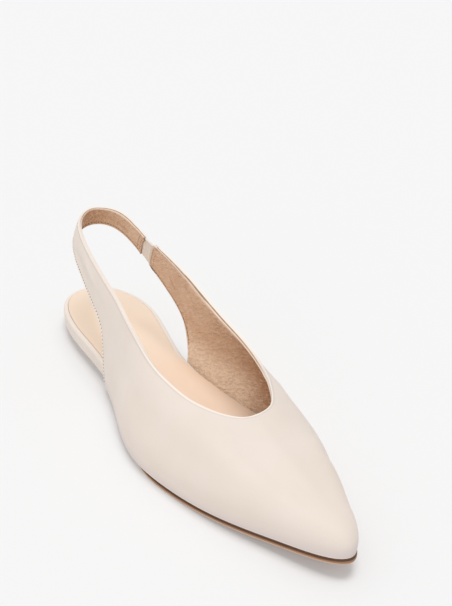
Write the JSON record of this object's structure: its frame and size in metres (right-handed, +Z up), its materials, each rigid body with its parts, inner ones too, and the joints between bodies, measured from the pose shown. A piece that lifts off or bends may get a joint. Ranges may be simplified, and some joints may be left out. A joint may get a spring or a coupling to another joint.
{
  "type": "slingback pump",
  "caption": "Women's flat slingback shoe for the right foot, with a pointed toe, open waist, heel strap with a short elastic and a thin sole.",
  "frame": {"origin": "on the floor, under the middle of the shoe's box", "axes": "+X from heel to toe, +Y towards the inner (medial) side of the foot, +Z up from the floor"},
  "size_m": [0.2654, 0.0788, 0.0712],
  "materials": {
    "upper_leather": "smooth cream leather with a soft sheen",
    "footbed_cover": "same cream leather, pulled round the board's edge",
    "sock_lining": "tan lining leather, matt",
    "outsole_tan": "tan sole sheet, satin edge",
    "heel_lift_tan": "tan, matt",
    "elastic_band": "off-white ribbed elastic"
  },
  "bodies": {
    "root": {"upper": "upper_leather", "footbed": "footbed_cover", "sock": "sock_lining", "outsole": "outsole_tan", "heel_lift": "heel_lift_tan", "elastic": "elastic_band"}
  },
  "joints": []
}
